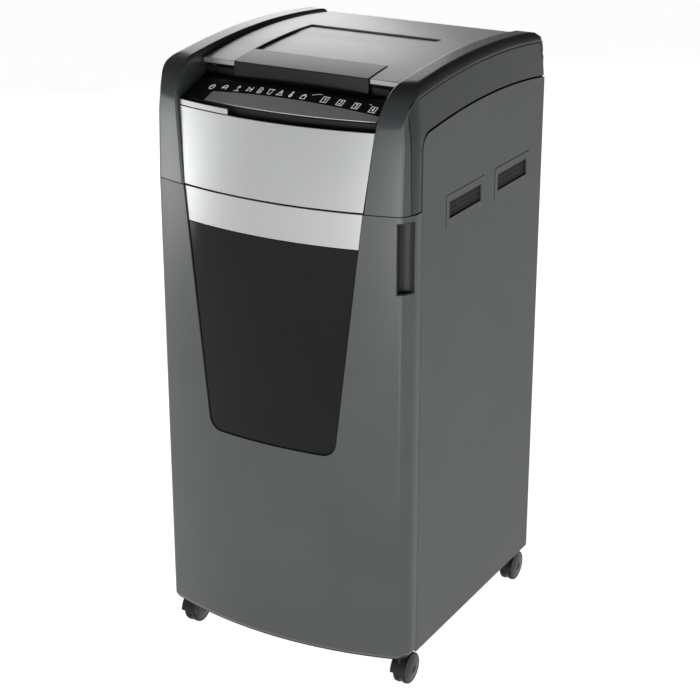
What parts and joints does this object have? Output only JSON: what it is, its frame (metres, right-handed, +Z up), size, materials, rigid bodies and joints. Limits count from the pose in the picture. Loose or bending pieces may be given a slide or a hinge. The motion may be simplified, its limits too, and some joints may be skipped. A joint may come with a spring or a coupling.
{
  "type": "paper shredder",
  "caption": "Tall office paper shredder on castors with a bowed front, pull-out waste bin, sloped control area with a manual slot, and a hinged lid over an automatic feed tray.",
  "frame": {"origin": "on the floor, below the middle of the bounding box", "axes": "+Z up, -Y out of the bowed front, +X to the viewer's right when facing the front"},
  "size_m": [0.48, 0.547, 1.068],
  "materials": {
    "apron_plastic": "satin grey",
    "board_green": "lacquered",
    "bronze": "sintered",
    "dark_plastic": "fine-textured near-black",
    "gear_plastic": "moulded natural",
    "gloss_black": "gloss",
    "hard_steel": "oiled",
    "motor_black": "semi-gloss",
    "roller_rubber": "matt",
    "side_plastic": "fine-textured charcoal",
    "silver_plastic": "silver lacquer",
    "steel": "plain",
    "wheel_plastic": "satin dark grey"
  },
  "bodies": {
    "cabinet": {"base_tray": "dark_plastic", "side_panel_left": "side_plastic", "side_panel_right": "side_plastic", "vent_grilles": "dark_plastic", "rear_panel": "side_plastic", "cheek_band_left": "side_plastic", "cheek_band_right": "side_plastic", "cheek_cap_left": "side_plastic", "cheek_cap_right": "side_plastic", "fascia": "silver_plastic", "slot_chute": "dark_plastic", "control_housing": "dark_plastic", "control_strip": "gloss_black", "feed_apron": "apron_plastic", "paper_tray": "dark_plastic", "cutter_deck": "steel", "end_plate_left": "steel", "end_plate_right": "steel", "tie_bars": "steel", "stripper_combs": "steel", "bearings": "bronze", "motor": "motor_black", "circuit_board": "board_green", "fan_frame": "dark_plastic", "power_inlet": "dark_plastic", "switch_bezel": "dark_plastic", "bin_rails": "steel", "hinge_blocks": "steel", "cabinet_screws": "steel", "interlock_switch": "dark_plastic", "lock_solenoid": "motor_black"},
    "drawer": {"door_shell": "side_plastic", "door_strip": "silver_plastic", "door_window": "gloss_black", "handle_pocket": "dark_plastic", "waste_bin": "dark_plastic", "bin_runners": "steel"},
    "lid": {"lid_panel": "silver_plastic", "lid_lip": "gloss_black", "lid_inset": "silver_plastic", "lid_liner": "dark_plastic", "lid_catches": "steel"},
    "presser": {"pressure_plate": "dark_plastic"},
    "roller_front": {"feed_roller_front": "roller_rubber"},
    "roller_rear": {"feed_roller_rear": "roller_rubber"},
    "cutter_front": {"cutter_shaft_front": "hard_steel"},
    "cutter_rear": {"cutter_shaft_rear": "hard_steel"},
    "idler": {"idler_gear": "gear_plastic"},
    "pinion": {"motor_pinion": "hard_steel"},
    "fan": {"fan_rotor": "dark_plastic"},
    "rocker": {"rocker_switch": "dark_plastic"},
    "bolt": {"lock_bolt": "steel"},
    "fork_fl": {"castor_fork_fl": "dark_plastic"},
    "wheels_fl": {"castor_wheels_fl": "wheel_plastic"},
    "fork_fr": {"castor_fork_fr": "dark_plastic"},
    "wheels_fr": {"castor_wheels_fr": "wheel_plastic"},
    "fork_rl": {"castor_fork_rl": "dark_plastic"},
    "wheels_rl": {"castor_wheels_rl": "wheel_plastic"},
    "fork_rr": {"castor_fork_rr": "dark_plastic"},
    "wheels_rr": {"castor_wheels_rr": "wheel_plastic"}
  },
  "joints": [
    {"name": "drawer_slide", "type": "slide", "parent": "cabinet", "child": "drawer", "axis": [0, -1, 0], "range_m": [0, 0.35]},
    {"name": "lid_hinge", "type": "hinge", "parent": "cabinet", "child": "lid", "pos_m": [0, 0.2515, 1.032], "axis": [-1, 0, 0], "range_deg": [0, 75]},
    {"name": "presser_hinge", "type": "hinge", "parent": "lid", "child": "presser", "pos_m": [0, 0.1485, 1.03], "axis": [-1, 0, 0], "range_deg": [0, 14]},
    {"name": "cutter_rear_spin", "type": "hinge", "parent": "cabinet", "child": "cutter_rear", "pos_m": [0, 0.0105, 0.898], "axis": [1, 0, 0], "continuous": true},
    {"name": "cutter_front_spin", "type": "hinge", "parent": "cabinet", "child": "cutter_front", "pos_m": [0, -0.0335, 0.898], "axis": [1, 0, 0], "continuous": true},
    {"name": "roller_front_spin", "type": "hinge", "parent": "cabinet", "child": "roller_front", "pos_m": [0, -0.0335, 0.942], "axis": [1, 0, 0], "continuous": true},
    {"name": "roller_rear_spin", "type": "hinge", "parent": "cabinet", "child": "roller_rear", "pos_m": [0, 0.0105, 0.942], "axis": [1, 0, 0], "continuous": true},
    {"name": "idler_spin", "type": "hinge", "parent": "cabinet", "child": "idler", "pos_m": [0.185, 0.0465, 0.898], "axis": [1, 0, 0], "continuous": true},
    {"name": "pinion_spin", "type": "hinge", "parent": "cabinet", "child": "pinion", "pos_m": [0.192, 0.1005, 0.898], "axis": [1, 0, 0], "continuous": true},
    {"name": "fan_spin", "type": "hinge", "parent": "cabinet", "child": "fan", "pos_m": [-0.11, 0.2435, 0.898], "axis": [0, 1, 0], "continuous": true},
    {"name": "rocker_tilt", "type": "hinge", "parent": "cabinet", "child": "rocker", "pos_m": [0.1, 0.2555, 0.14], "axis": [0, 0, -1], "range_deg": [0, 14]},
    {"name": "bolt_slide", "type": "slide", "parent": "cabinet", "child": "bolt", "axis": [1, 0, 0], "range_m": [0, 0.01]},
    {"name": "castor_swivel_fl", "type": "hinge", "parent": "cabinet", "child": "fork_fl", "pos_m": [-0.216, -0.2025, 0.065], "axis": [0, 0, 1], "continuous": true},
    {"name": "wheel_spin_fl", "type": "hinge", "parent": "fork_fl", "child": "wheels_fl", "pos_m": [-0.216, -0.1825, 0.028], "axis": [1, 0, 0], "continuous": true},
    {"name": "castor_swivel_fr", "type": "hinge", "parent": "cabinet", "child": "fork_fr", "pos_m": [0.216, -0.2025, 0.065], "axis": [0, 0, 1], "continuous": true},
    {"name": "wheel_spin_fr", "type": "hinge", "parent": "fork_fr", "child": "wheels_fr", "pos_m": [0.216, -0.1825, 0.028], "axis": [1, 0, 0], "continuous": true},
    {"name": "castor_swivel_rl", "type": "hinge", "parent": "cabinet", "child": "fork_rl", "pos_m": [-0.216, 0.2255, 0.065], "axis": [0, 0, 1], "continuous": true},
    {"name": "wheel_spin_rl", "type": "hinge", "parent": "fork_rl", "child": "wheels_rl", "pos_m": [-0.216, 0.2455, 0.028], "axis": [1, 0, 0], "continuous": true},
    {"name": "castor_swivel_rr", "type": "hinge", "parent": "cabinet", "child": "fork_rr", "pos_m": [0.216, 0.2255, 0.065], "axis": [0, 0, 1], "continuous": true},
    {"name": "wheel_spin_rr", "type": "hinge", "parent": "fork_rr", "child": "wheels_rr", "pos_m": [0.216, 0.2455, 0.028], "axis": [1, 0, 0], "continuous": true}
  ],
  "couplings": [
    {"joint": "cutter_front_spin", "follows": "cutter_rear_spin", "ratio": -1},
    {"joint": "roller_rear_spin", "follows": "cutter_rear_spin", "ratio": -1},
    {"joint": "roller_front_spin", "follows": "cutter_rear_spin", "ratio": 1},
    {"joint": "idler_spin", "follows": "cutter_rear_spin", "ratio": -1.5714},
    {"joint": "pinion_spin", "follows": "cutter_rear_spin", "ratio": 4.4898}
  ]
}
